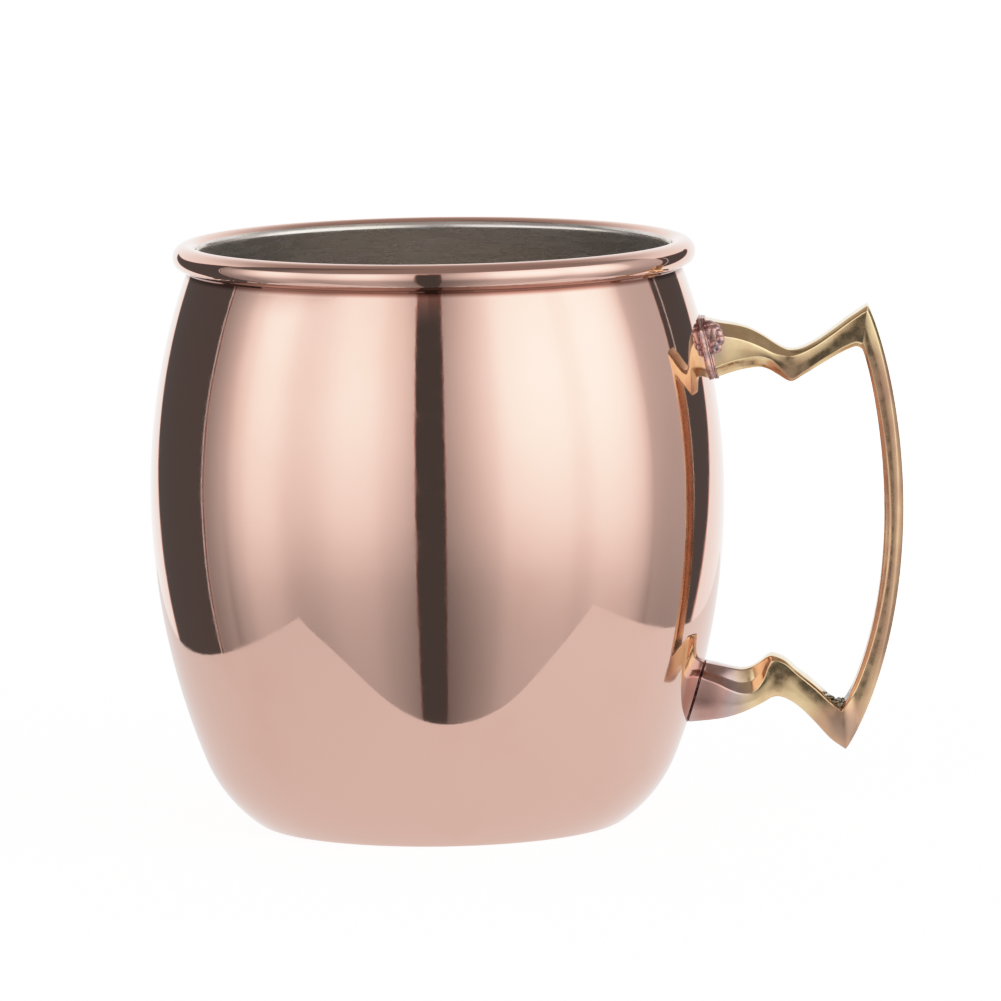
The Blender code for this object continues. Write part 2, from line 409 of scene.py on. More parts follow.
# The seam under the roll, where the curled lip ends: turns in radians from the lip's edge to the
# seam's four corners, its depth, the rows of points it takes in, and how ragged it is
LIP_EDGE_DEG = -37.0
SEAM_TURNS = (-0.05, -0.03, 0.0, 0.02)
SEAM_DEPTH = 0.3 * MM
SEAM_ROWS = 6
RAGGEDNESS = 0.05 * MM
COARSE_RAG = 0.9 * MM
FINE_RAG = 0.35 * MM
UNDER_START_DEG = -86.0
UNDER_LIP = 0.1 * MM

# The rim's corner on the side of the drink
LIP_TURN_DEG = 153.0
LIP_CORNER = 0.45 * MM
LIP_CORNER_STEPS = 8
LIP_CORNER_END = 0.12

# The base is hollow inside a narrow foot: (distance in from the foot's edge, height) pairs
BASE_HOLLOW = 0.3 * MM
FOOT_RING = ((2.2 * MM, 0.28 * MM), (1.2 * MM, 0.0), (0.15 * MM, 0.0))


def lip_inside(radius, inset):
    """The rim's inner side, from where it leaves the curl's circle to just above the neck."""
    neck = polar(SHOULDER_CENTRE, SHOULDER_ARC - inset, NECK_ANGLE)
    angle = math.radians(LIP_TURN_DEG)
    start = polar(CURL_CENTRE, radius, angle)
    corner = (start[0] - LIP_CORNER * math.sin(angle), start[1] + LIP_CORNER * math.cos(angle))

    def down(share):
        return tuple(c + share * (n - c) for c, n in zip(corner, neck))

    end = down(LIP_CORNER_END)
    shares = [step / LIP_CORNER_STEPS for step in range(1, LIP_CORNER_STEPS + 1)]
    return [bend(start, corner, end, share) for share in shares] + [down(0.4), down(0.7)]


def copper_cup():
    """The spun cup. Its lip is curled over and ends in a fine, ragged seam under the rim."""
    lip = math.radians(LIP_EDGE_DEG)
    under_end, seam_start, seam_end, over_start = (lip + turn for turn in SEAM_TURNS)
    neck_top_angle = math.asin((NECK_TOP - BELLY_HEIGHT) / SHOULDER_ARC)
    neck_top = polar(SHOULDER_CENTRE, SHOULDER_ARC, neck_top_angle)
    outside = wall_points(0.0, 14)
    under_start = math.radians(UNDER_START_DEG)
    under = sweep(CURL_CENTRE, CURL_RADIUS - UNDER_LIP, under_start, under_end, 8)
    seam = [polar(CURL_CENTRE, CURL_RADIUS - SEAM_DEPTH, turn) for turn in (seam_start, seam_end)]
    over = sweep(CURL_CENTRE, CURL_RADIUS, over_start, math.radians(LIP_TURN_DEG), 40)
    inside = lip_inside(CURL_RADIUS, WALL) + wall_points(WALL, 8)[::-1]
    foot = outside[0][0]
    base = [(0.0, BASE_HOLLOW), (foot * 0.5, BASE_HOLLOW)]
    base += [(foot - inset, height) for inset, height in FOOT_RING]
    profile = base + outside[1:] + [neck_top] + under + seam + over + inside + [(0.0, WALL)]
    first_seam = len(base) + len(outside) + len(under) - 3
    seam_rows = range(first_seam, first_seam + SEAM_ROWS)

    def shift(angle, index):
        if index + 1 not in seam_rows:
            return (0.0, 0.0)
        around = Vector((math.cos(angle), math.sin(angle), 0.0)) * NECK[0]
        ragged = noise.noise(around / COARSE_RAG) + 0.5 * noise.noise(around / FINE_RAG)
        return (0.0, RAGGEDNESS * ragged)

    mesh = turned_mesh("copper_cup_polished", profile, CUP_STEPS, shift)
    shaded_smooth(mesh)
    return add_piece("copper_cup_polished", mesh, copper_material(), "copper", "copper_cup")


def nickel_lining():
    """The lining, a thin shell from the middle of the bottom up and over the rim's inner side."""
    edge = math.radians(LINING_EDGE_DEG)

    def face(lift):
        radius = CURL_RADIUS + lift
        lip = sweep(CURL_CENTRE, radius, math.radians(LIP_TURN_DEG), edge, 6)
        return wall_points(WALL + lift, 12) + lip_inside(radius, WALL + lift)[::-1] + lip

    front = LINING_LIFT + LINING_THICKNESS
    profile = [(0.0, WALL + front)] + face(front)
    profile += face(LINING_LIFT)[::-1] + [(0.0, WALL + LINING_LIFT)]
    mesh = turned_mesh("nickel_lining_satin", profile, LINING_STEPS)
    shaded_smooth(mesh)
    return add_piece("nickel_lining_satin", mesh, nickel_material(), "nickel", "nickel_lining")


# ---------------------------------------------------------------- handle

# Stations along an arm, from the wall to the tip, in millimetres in the handle's plane: the edge
# away from the grip's opening, the edge on it, the half width, and the depth of the bevel on each
# edge along and across the face. The last number hollows the bevel on the opening's side.
UPPER_ARM = (
    ((41.4, 79.0), (43.5, 69.5), 4.5, (1.9, 1.9), (1.6, 1.8), 0.0),
    ((44.4, 78.3), (45.2, 70.05), 4.25, (1.9, 1.9), (1.9, 1.8), 0.0),
    ((47.0, 77.85), (47.1, 70.6), 3.85, (1.95, 1.8), (1.9, 1.8), 0.0),
    ((49.2, 77.2), (49.0, 70.96), 3.5, (2.0, 1.8), (1.9, 1.7), 0.0),
    ((51.3, 76.1), (50.7, 71.1), 3.2, (1.8, 1.6), (1.85, 1.6), 0.0),
    ((53.1, 74.9), (52.2, 70.7), 3.0, (1.5, 1.4), (1.7, 1.4), 0.0),
    ((54.4, 74.15), (53.6, 69.9), 2.88, (1.1, 1.1), (1.2, 1.0), 0.0),
    ((55.6, 73.8), (55.6, 68.9), 2.86, (0.9, 0.9), (0.5, 0.45), 0.0),
    ((57.5, 74.15), (57.6, 69.9), 2.95, (0.7, 0.8), (0.5, 0.55), 0.0),
    ((59.8, 75.35), (60.2, 71.45), 3.08, (0.65, 0.8), (0.6, 0.7), 0.0),
    ((62.2, 77.0), (62.7, 72.9), 3.18, (0.65, 0.8), (0.65, 0.8), 0.0),
    ((64.4, 78.6), (64.7, 73.9), 3.22, (0.65, 0.8), (0.75, 0.8), 0.0),
    ((66.3, 79.85), (65.9, 74.25), 3.22, (0.65, 0.8), (0.85, 0.8), 0.0),
    ((67.64, 80.72), (66.7, 73.9), 3.2, (0.75, 0.85), (0.95, 0.85), 0.0),
)
LOWER_ARM = (
    ((39.05, 15.45), (41.5, 24.7), 4.5, (0.6, 0.8), (2.2, 2.3), 0.1),
    ((42.75, 15.73), (43.8, 24.15), 4.28, (0.6, 0.8), (2.6, 2.3), 0.15),
    ((45.1, 16.05), (45.7, 23.7), 3.97, (0.6, 0.8), (3.2, 2.2), 0.2),
    ((47.4, 16.7), (47.5, 23.4), 3.67, (0.6, 0.8), (3.6, 2.1), 0.2),
    ((49.3, 17.5), (49.0, 23.75), 3.4, (0.6, 0.8), (3.7, 2.0), 0.2),
    ((51.0, 18.35), (50.4, 24.6), 3.2, (0.6, 0.8), (2.9, 1.7), 0.15),
    ((52.2, 19.0), (51.35, 25.35), 3.07, (0.6, 0.8), (1.5, 1.2), 0.1),
    ((53.4, 19.1), (52.3, 25.6), 3.03, (0.6, 0.75), (0.7, 0.7), 0.0),
    ((54.9, 18.5), (54.2, 24.9), 3.1, (0.55, 0.7), (0.5, 0.6), 0.0),
    ((56.6, 17.3), (56.0, 23.3), 3.25, (0.55, 0.7), (0.5, 0.6), 0.0),
    ((58.8, 15.1), (58.9, 20.95), 3.45, (0.5, 0.7), (0.5, 0.6), 0.0),
    ((61.2, 12.5), (61.2, 18.75), 3.67, (0.5, 0.7), (0.5, 0.6), 0.0),
    ((63.57, 10.8), (62.95, 17.4), 3.85, (0.5, 0.7), (0.5, 0.6), 0.0),
)
GRIP_HALF_WIDTH = 3.1
GRIP_LEAN = 0.045
GRIP_BEVELS = ((0.8, 0.9), (0.95, 0.45))
OUTER_BOW = 7.33
INNER_BOW = 5.15
BOW_FULLNESS = 0.84
OUTER_SAG = 0.075
INNER_SAG = 0.15
GRIP_STEPS = 64
ARM_STEPS = 5
TIP_BLEND = 0.06
FACE_CROWN = 0.05
EDGE_ROUNDING = 0.22
EDGE_STEPS = 3
END_CLEARANCE = 0.25


def bowed(start, end, bow, sag, share):
    """A point this share of the way from tip to tip, pushed out square to the line between them."""
    along = (end[0] - start[0], end[1] - start[1])
    length = math.hypot(*along)
    bulge = bow * (4 * share * (1 - share)) ** BOW_FULLNESS * (1 + sag * (2 * share - 1))
    return (
        start[0] + along[0] * share - along[1] / length * bulge,
        start[1] + along[1] * share + along[0] / length * bulge,
    )


def flat_station(station):
    """A station's numbers as one array, with its pairs opened out."""
    return np.hstack(station)


def eased(share):
    """A share from 0 to 1 that starts and ends gently."""
    return share * share * (3 - 2 * share)


def fade(distance, full, none):
    """1 up to the full distance, 0 from none on, eased between."""
    return eased(min(max((none - distance) / (none - full), 0.0), 1.0))


def smooth_stations(stations, steps):
    """Stations on a smooth curve through the given ones, this many steps from one to the next."""
    keys = [flat_station((*s, 0.0)) for s in stations]
    keys = [2 * keys[0] - keys[1]] + keys + [2 * keys[-1] - keys[-2]]
    result = []
    for before, start, end, after in zip(keys, keys[1:], keys[2:], keys[3:]):
        for step in range(steps):
            t = step / steps
            curve = 2 * start + (end - before) * t
            curve = curve + (2 * before - 5 * start + 4 * end - after) * t**2
            curve = curve + (3 * start - before - 3 * end + after) * t**3
            result.append(curve / 2)
    return result + [keys[-2]]


def grip_stations(top, bottom):
    """Stations of the bowed grip between the two tips, without the tips themselves."""
    result = []
    for step in range(1, GRIP_STEPS):
        share = 0.5 - 0.5 * math.cos(math.pi * step / GRIP_STEPS)
        outer = bowed(top[0:2], bottom[0:2], OUTER_BOW, OUTER_SAG, share)
        inner = bowed(top[2:4], bottom[2:4], INNER_BOW, INNER_SAG, share)
        middle = flat_station((outer, inner, GRIP_HALF_WIDTH, *GRIP_BEVELS, 0.0, GRIP_LEAN))
        near_top = max(0.0, 1.0 - share / TIP_BLEND)
        near_bottom = max(0.0, 1.0 - (1.0 - share) / TIP_BLEND)
        for tip, nearness in ((top, near_top), (bottom, near_bottom)):
            middle[4:] += (tip[4:] - middle[4:]) * eased(nearness)
        result.append(middle)
    return result


def rounded_corners(corners, radius, steps):
    """The outline with each corner replaced by a small arc of steps + 1 points."""
    result = []
    count = len(corners)
    for i, corner in enumerate(corners):
        here = np.array(corner)
        back = np.array(corners[i - 1]) - here
        on = np.array(corners[(i + 1) % count]) - here
        reach = min(radius, 0.45 * np.linalg.norm(back), 0.45 * np.linalg.norm(on))
        start = here + back / np.linalg.norm(back) * reach
        end = here + on / np.linalg.norm(on) * reach
        result += [bend(start, here, end, step / steps) for step in range(steps + 1)]
    return result


def station_ring(station):
    """The handle's section at a station: (x, y, z) points in millimetres, once round."""
    outer, inner, half = station[0:2], station[2:4], station[4]
    (outer_along, outer_side), (inner_along, inner_side) = station[5:7], station[7:9]
    hollow, lean = station[9:]
    depth = float(np.linalg.norm(inner - outer))
    across = (inner - outer) / depth
    hollow_at = (depth - inner_along * 0.5 - hollow, half - inner_side * 0.5 - hollow)
    near_side = [
        (-FACE_CROWN, 0.0),
        (0.0, half - outer_side),
        (outer_along, half - lean),
        (0.5 * (outer_along + depth - inner_along), half + FACE_CROWN),
        (depth - inner_along, half + lean),
        hollow_at,
        (depth, half - inner_side),
        (depth + FACE_CROWN, 0.0),
    ]
    outline = near_side + [(t, -w) for t, w in near_side[-2:0:-1]]
    ring = rounded_corners(outline, EDGE_ROUNDING, EDGE_STEPS)
    return [(outer[0] + across[0] * t, w, outer[1] + across[1] * t) for t, w in ring]


def on_wall(point, clearance):
    """The point moved along X to stand this far off the cup's outside."""
    x, y, z = point
    radius = outside_radius(z * MM) / MM + clearance
    return (math.sqrt(radius**2 - y**2), y, z)


def handle_rings():
    """The handle's sections from the upper arm's end to the lower one's, both cut to the wall."""
    upper = smooth_stations(UPPER_ARM, ARM_STEPS)
    lower = smooth_stations(LOWER_ARM, ARM_STEPS)[::-1]
    stations = upper + grip_stations(upper[-1], lower[0]) + lower
    rings = [station_ring(s) for s in stations]
    rings[0] = [on_wall(p, END_CLEARANCE) for p in rings[0]]
    rings[-1] = [on_wall(p, END_CLEARANCE) for p in rings[-1]]
    return rings


def lofted_mesh(name, rings):
    """A closed skin over rings of points in millimetres, capped at both ends."""
    verts = [Vector(p) * MM for ring in rings for p in ring]
    count = len(rings[0])
    faces = [list(range(count)), list(range((len(rings) - 1) * count, len(rings) * count))]
    for row in range(len(rings) - 1):
        near = row * count
        far = near + count
        for i in range(count):
            j = (i + 1) % count
            faces.append((near + i, near + j, far + j, far + i))
    mesh = bpy.data.meshes.new(name)
    mesh.from_pydata(verts, [], faces)
    bm = bmesh.new()
    bm.from_mesh(mesh)
    bmesh.ops.recalc_face_normals(bm, faces=bm.faces)
    bm.to_mesh(mesh)
    bm.free()
    return mesh


# Spots where the casting's surface changes, in millimetres in the handle's plane: the centre, the
# distance up to which the change is full, the distance from which there is none, and its strength
LOWER_HEAT = ((41.0, 20.0), 3.2, 9.2, 1.0)
UPPER_HEAT = ((42.5, 75.5), 1.8, 4.4, 0.4)
BUMP_TARNISH = ((56.0, 69.4), 1.5, 4.5, 0.8)
TIP_TARNISH = ((64.0, 13.0), 3.0, 9.0, 1.4)
NOTCH_SKIN = ((62.6, 18.0), 2.4, 4.0, 1.0)
NOTCH_ROUGHNESS = ((62.6, 18.0), 0.8, 2.8, 0.22)

# The tarnish along the grip, by the height off its middle and by how far short of a line along X
GRIP_MIDDLE = 46.0
GRIP_TARNISH_SPAN = (24.0, 31.0)
GRIP_LINE = 68.0
GRIP_TARNISH_DEPTH = (-2.0, 6.0)

# How far a normal turns to the handle's sides before its surface counts as a side face
SIDE_TURN = (0.25, 0.6)
DRIFT = 1.2


def change_at(point, spot, drift=0.0):
    """A spot's change at a point, whose distance from the spot may drift."""
    centre, full, none, strength = spot
    away = Vector((point.x - centre[0], 0.0, point.z - centre[1]))
    return strength * fade(away.length + drift, full, none)


def paint_handle(mesh, lumps_from):
    """Stores where the casting is heat-tinted, tarnished or left rough.

    The vertices from lumps_from on are lumps of casting skin.
    """
    names = ("heat_tint", "tarnish", "rough_cast")
    for name in names:
        mesh.attributes.new(name, "FLOAT", "POINT")
    heat, tarnish, cast = (mesh.attributes[name] for name in names)
    for vertex in mesh.vertices:
        at = vertex.co / MM
        patch = noise.noise(at * 0.35)
        drift = DRIFT * patch
        lower = change_at(at, LOWER_HEAT, drift)
        upper = change_at(at, UPPER_HEAT, drift)
        heat.data[vertex.index].value = max(lower, upper)
        grip = fade(abs(at.z - GRIP_MIDDLE), *GRIP_TARNISH_SPAN)
        grip *= fade(GRIP_LINE - at.x, *GRIP_TARNISH_DEPTH)
        bump = change_at(at, BUMP_TARNISH, drift)
        low_tip = change_at(at, TIP_TARNISH)
        tarnish.data[vertex.index].value = max(grip, bump, low_tip) * (0.85 + 0.4 * patch)
        facing = fade(abs(vertex.normal.y), *SIDE_TURN)
        if vertex.index >= lumps_from:
            facing = 1.0
        cast.data[vertex.index].value = facing * change_at(at, NOTCH_SKIN)


def roughen_notch(mesh):
    """Roughens the bevels in the notch, which polishing wheels don't reach."""
    for vertex in mesh.vertices:
        at = vertex.co / MM
        height = change_at(at, NOTCH_ROUGHNESS) * fade(abs(vertex.normal.y), *SIDE_TURN)
        if height > 0.0:
            lump = noise.noise(at * 1.3) + 0.5 * noise.noise(at * 2.7)
            vertex.co += vertex.normal * (height * lump * MM)


def add_blob(mesh, centre, radii, lumpiness, fineness):
    """Joins a rounded lump of metal to the mesh."""
    bm = bmesh.new()
    bm.from_mesh(mesh)
    made = bmesh.ops.create_icosphere(bm, subdivisions=fineness, radius=1.0)
    for vertex in made["verts"]:
        shape = Vector((vertex.co.x * radii[0], vertex.co.y * radii[1], vertex.co.z * radii[2]))
        seed = shape + Vector(centre)
        lump = noise.noise(seed * 0.6)
        lump += 0.4 * noise.noise(seed * 1.3)
        lump += 0.06 * noise.noise(seed * 3.0)
        vertex.co = (Vector(centre) + shape * (1.0 + lumpiness * lump)) * MM
    bm.to_mesh(mesh)
    bm.free()


# Casting skin left in the notch: centres and radii in millimetres
NOTCH_LUMPS = (
    ((62.75, -2.9, 17.9), (0.8, 0.6, 0.6)),
    ((62.0, -2.8, 18.4), (0.8, 0.7, 0.4)),
    ((61.1, -2.6, 19.05), (0.75, 0.7, 0.3)),
    ((60.2, -2.5, 19.75), (0.6, 0.6, 0.22)),
    ((63.2, -2.6, 18.4), (0.35, 0.6, 0.6)),
    ((62.7, -0.6, 17.9), (0.6, 1.2, 0.5)),
    ((62.6, 1.6, 18.0), (0.5, 1.1, 0.5)),
)
SKIN_LUMPINESS = 0.3
LUMP_FINENESS = 3


def brass_handle():
    """The casting, with its skin left on in the lower notch."""
    mesh = lofted_mesh("brass_handle_cast", handle_rings())
    roughen_notch(mesh)
    lumps_from = len(mesh.vertices)
    for centre, radii in NOTCH_LUMPS:
        add_blob(mesh, centre, radii, SKIN_LUMPINESS, LUMP_FINENESS)
    shaded_smooth(mesh, 32.0)
    paint_handle(mesh, lumps_from)
    return add_piece("brass_handle_cast", mesh, brass_material(), "brass", "brass_handle")


# ---------------------------------------------------------------- brazed joints

JOINT_POINTS = 160
JOINT_LUMPINESS = 0.05
SPILL_LUMPINESS = 0.13

# Layers of filler round an arm's end: (distance off the wall, growth past the arm) in millimetres
COLLAR = (
    (-0.05, 0.16),
    (0.1, 0.13),
    (0.2, 0.0),
    (0.3, -0.03),
    (0.42, 0.09),
    (0.56, 0.06),
    (0.66, -0.04),
    (0.78, 0.06),
    (0.92, 0.03),
    (1.0, -0.14),
)
GROOVE = (
    (-0.05, 0.2),
    (0.03, 0.05),
    (0.08, -0.1),
    (0.3, -0.3),
)


def even_ring(ring, count):
    """The same closed outline as this many evenly spaced points."""
    points = np.array([*ring, ring[0]])
    along = np.concatenate(([0.0], np.cumsum(np.linalg.norm(np.diff(points, axis=0), axis=1))))
    places = np.linspace(0.0, along[-1], count, endpoint=False)
    columns = [np.interp(places, along, points[:, axis]) for axis in range(3)]
    return [Vector(p) for p in zip(*columns)]


def joint_mesh(name, end_ring, layers, lumpiness):
    """Filler between the wall and an arm's end, whose outline is the end ring."""
    outline = even_ring(end_ring, JOINT_POINTS)
    middle = sum(outline, Vector()) / len(outline)
    rings = []
    for clearance, growth in layers:
        ring = []
        for point in outline:
            away = point - middle
            away.x = 0.0
            lump = lumpiness * (noise.noise(point * 0.7) + 0.4 * noise.noise(point * 1.7))
            moved = point + away.normalized() * (growth + lump)
            ring.append(on_wall(moved, clearance + 0.5 * lump))
        rings.append(ring)
    return lofted_mesh(name, rings)


# Filler spilt down the near side of the upper arm: centres and radii in millimetres
UPPER_LUMPS = (
    ((42.9, -3.1, 77.9), (1.1, 1.1, 0.9)),
    ((43.8, -3.3, 77.4), (1.1, 1.1, 0.9)),
    ((44.2, -3.7, 76.7), (1.0, 0.95, 0.95)),
    ((43.2, -3.9, 76.4), (1.4, 0.8, 1.8)),
    ((44.4, -4.1, 75.7), (0.9, 0.7, 0.95)),
    ((43.7, -4.3, 75.1), (0.9, 0.6, 0.85)),
    ((44.1, -4.25, 74.5), (0.8, 0.5, 0.8)),
    ((43.5, -4.35, 74.1), (0.65, 0.45, 0.7)),
)


def brazed_joints():
    """The upper joint, a ridged collar with spilt filler, and the lower one, a groove."""
    rings = handle_rings()
    material = filler_material()
    upper = joint_mesh("upper_braze_filler", rings[0], COLLAR, JOINT_LUMPINESS)
    for centre, radii in UPPER_LUMPS:
        add_blob(upper, centre, radii, SPILL_LUMPINESS, LUMP_FINENESS)
    lower = joint_mesh("lower_braze_filler", rings[-1], GROOVE, JOINT_LUMPINESS)
    for mesh, node in ((upper, "upper_braze_joint"), (lower, "lower_braze_joint")):
        shaded_smooth(mesh, 60.0)
        add_piece(mesh.name, mesh, material, "filler", node)


# ---------------------------------------------------------------- studio

CAMERA_TURN = math.radians(2.0)
CAMERA_DISTANCE = 1500.0 * MM
CAMERA_RISE = math.radians(7.301)
CAMERA_ROLL = math.radians(0.852)
CAMERA_LENS = 343.6
AIM_HEIGHT = 45.0 * MM
AIM_RIGHT = math.radians(0.374)
AIM_UP = math.radians(0.206)


def make_camera():
    """A long lens a little above the mug, with the handle out to the right."""
    data = bpy.data.cameras.new("camera")
    data.lens = CAMERA_LENS
    data.sensor_width = 36.0
    data.clip_start = 0.05
    data.clip_end = 20.0
    camera = bpy.data.objects.new("camera", data)
    bpy.context.scene.collection.objects.link(camera)
    forward = Vector((0.0, math.cos(CAMERA_RISE), -math.sin(CAMERA_RISE)))
    right = Vector((1.0, 0.0, 0.0))
    up = right.cross(forward)
    roll = Matrix.Rotation(CAMERA_ROLL, 3, forward)
    right, up = roll @ right, roll @ up
    pan = Matrix.Rotation(-AIM_RIGHT, 3, up)
    forward, right = pan @ forward, pan @ right
    tilt = Matrix.Rotation(AIM_UP, 3, right)
    forward, up = tilt @ forward, tilt @ up
    turn = Matrix.Rotation(CAMERA_TURN, 3, "Z")
    place = Vector((0.0, -math.cos(CAMERA_RISE), math.sin(CAMERA_RISE))) * CAMERA_DISTANCE
    place.z += AIM_HEIGHT
    axes = Matrix((turn @ right, turn @ up, turn @ -forward)).transposed()
    camera.matrix_world = Matrix.Translation(turn @ place) @ axes.to_4x4()
    bpy.context.scene.camera = camera


def studio_point(x, y, z):
    """A point in the tent, which is square to the camera, in millimetres."""
    return Matrix.Rotation(CAMERA_TURN, 3, "Z") @ Vector((x, y, z)) * MM


# The board, in millimetres, with its brightness at its left and right edges
BOARD_LIGHT = (0.93, 1.04)
BOARD_LEFT = -110.0
BOARD_RIGHT = 128.0
BOARD_BACK = 260.0
BOARD_FRONT_LEFT = -87.0
BOARD_FRONT_RIGHT = -81.0
BOARD_BAY = -65.0
BOARD_BAY_AT = 6.0
BOARD_BAY_WIDTH = 33.0
BOARD_STEPS = 48
BOARD_HEIGHT = -0.01
FLOOR_HEIGHT = -0.02


def board_material():
    """Plain light, a little stronger on the right."""
    material = bpy.data.materials.new("white_board")
    material.use_nodes = True
    n = Nodes(material.node_tree)
    n.tree.nodes.clear()
    out = n.add("ShaderNodeOutputMaterial")
    glow = n.add("ShaderNodeEmission")
    coordinate = n.add("ShaderNodeTexCoord")
    split = n.add("ShaderNodeSeparateXYZ")
    n.link(coordinate.outputs["Object"], split.inputs["Vector"])
    strength = n.remap(split.outputs["X"], BOARD_LEFT * MM, BOARD_RIGHT * MM, *BOARD_LIGHT)
    n.link(strength, glow.inputs["Strength"])
    n.link(glow.outputs["Emission"], out.inputs["Surface"])
    return material


def make_board():
    """The white board under the mug, which the metal mirrors, with a bay in its front edge."""
    front = []
    for step in range(BOARD_STEPS + 1):
        x = BOARD_LEFT + (BOARD_RIGHT - BOARD_LEFT) * step / BOARD_STEPS
        far = BOARD_FRONT_LEFT if x < BOARD_BAY_AT else BOARD_FRONT_RIGHT
        bay = math.exp(-(((x - BOARD_BAY_AT) / BOARD_BAY_WIDTH) ** 2) / 2)
        front.append((x, far + (BOARD_BAY - far) * bay))
    outline = front + [(BOARD_RIGHT, BOARD_BACK), (BOARD_LEFT, BOARD_BACK)]
    corners = [studio_point(x, y, BOARD_HEIGHT) for x, y in outline]
    mesh = bpy.data.meshes.new("white_board")
    mesh.from_pydata(corners, [], [list(range(len(corners)))])
    mesh.materials.append(board_material())
    board = bpy.data.objects.new("white_board", mesh)
    bpy.context.scene.collection.objects.link(board)
    board.visible_camera = False
    board.visible_diffuse = False
    board.visible_shadow = False


def make_floor():
    """A wide pale floor. The metal mirrors the board on it instead."""
    material = bpy.data.materials.new("pale_floor")
    material.use_nodes = True
    shader = material.node_tree.nodes["Principled BSDF"]
    shader.inputs["Base Color"].default_value = (0.8, 0.8, 0.8, 1.0)
    shader.inputs["Roughness"].default_value = 0.7
    shader.inputs["Specular IOR Level"].default_value = 0.0
    shader.inputs["Emission Color"].default_value = (1.0, 1.0, 1.0, 1.0)
    shader.inputs["Emission Strength"].default_value = 1.0
    bm = bmesh.new()
    bmesh.ops.create_grid(bm, x_segments=24, y_segments=24, size=6.0)
    mesh = bpy.data.meshes.new("floor")
    bm.to_mesh(mesh)
    bm.free()
    mesh.materials.append(material)
    floor = bpy.data.objects.new("floor", mesh)
    floor.location.z = FLOOR_HEIGHT * MM
    floor.visible_glossy = False
    bpy.context.scene.collection.objects.link(floor)


# Brightness of the light tent by the direction in degrees, from the camera's side to the right
LEFT_SHEETS = (
    (-109, 0.4),
    (-98, 0.75),
    (-87, 1.42),
    (-75, 1.82),
    (-58, 1.46),
    (-34, 1.78),
    (-20, 1.42),
    (-9, 0.95),
)
RIGHT_SHEETS = (
    (3, 0.62),
    (12, 0.95),
    (22, 1.38),
    (34, 1.93),
    (52, 2.05),
    (60, 1.9),
    (70, 2.1),
    (80, 2.0),
    (88, 1.7),
    (95, 1.15),
    (99, 0.82),
    (121, 0.72),
)
# Share of that brightness by the height above level in degrees
CLIMB = (
    (-60, 0.34),
    (-45, 0.36),
    (-32, 0.36),
    (-20, 0.43),
    (-12, 0.6),
    (-6, 0.75),
    (2, 0.87),
    (12, 0.98),
    (22, 1.0),
    (34, 0.9),
)
SHEET_TOP = ((-110, 20), (-60, 30), (-30, 39), (20, 45), (55, 44), (85, 37), (121, 30))
CEILING = ((-110, 0.14), (-90, 0.17), (-60, 0.34), (0, 0.35), (121, 0.35))
SIDE_PANELS = ((-109.0, -96.0), (97.0, 121.0))
SIDE_PANEL_LIFT = 0.25
SLOT = (-8.7, 3.1)
SLOT_TOP = (28.0, 44.0)
SLOT_LIGHT = 0.085
LEFT_GAP = (-155.5, -107.5)
RIGHT_GAP = (119.8, 146.5)
LEFT_GAP_LEAN = 0.7
RIGHT_GAP_LEAN = 0.9
LEAN_HEIGHTS = (-25.0, 8.0)
LEFT_GAP_TOP = ((-149, 8), (-137, 11), (-125, 18), (-115, 26), (-107, 32))
RIGHT_GAP_TOP = ((121, 19), (148, 12))
GAP_LIGHT = 0.105
GLINTS = ((-109.5, -108.6), (124.5, 125.4))
GLINT_LIGHT = 0.6
BACK_LIGHT = ((-90, 1.1), (18, 1.2), (38, 0.85), (50, 0.55), (62, 0.42), (90, 0.36))
# Directions in degrees where the left sheets meet the right ones, and above which light is tinted
SIDES_MEET = -3.0
OVERHEAD = 48.0
OVERHEAD_TINT = (1.0, 0.87, 0.81)
FRINGE = (1.0, 0.6, 0.52)
SEEN_WHITE = 3.0


def rise(n, value, place, softness):
    """0 before the place and 1 after it, eased."""
    return n.remap(value, place - softness, place + softness)


def within(n, value, span, softness):
    """1 inside the span and 0 outside it, eased at both ends."""
    return n.math("SUBTRACT", rise(n, value, span[0], softness), rise(n, value, span[1], softness))


def front_light(n, turn, climb, side):
    """The tent on the camera's side: sheets under a dim ceiling. Also says where its slot is."""
    share = n.curve(climb, CLIMB)
    sheets = n.blend(side, n.curve(turn, LEFT_SHEETS), n.curve(turn, RIGHT_SHEETS))
    sheets = n.math("MULTIPLY", sheets, share)
    panels = n.math("ADD", *(within(n, turn, span, 2.0) for span in SIDE_PANELS))
    lift = n.math("MULTIPLY", n.math("SUBTRACT", 1.0, share), SIDE_PANEL_LIFT)
    sheets = n.math("ADD", sheets, n.math("MULTIPLY", panels, lift))
    above = n.math("SUBTRACT", climb, n.curve(turn, SHEET_TOP))
    front = n.blend(rise(n, above, 0.0, 5.0), sheets, n.curve(turn, CEILING))
    slot = n.math("MULTIPLY", within(n, turn, SLOT, 0.6), n.remap(climb, *SLOT_TOP, 1.0, 0.0))
    return n.blend(slot, front, SLOT_LIGHT), slot


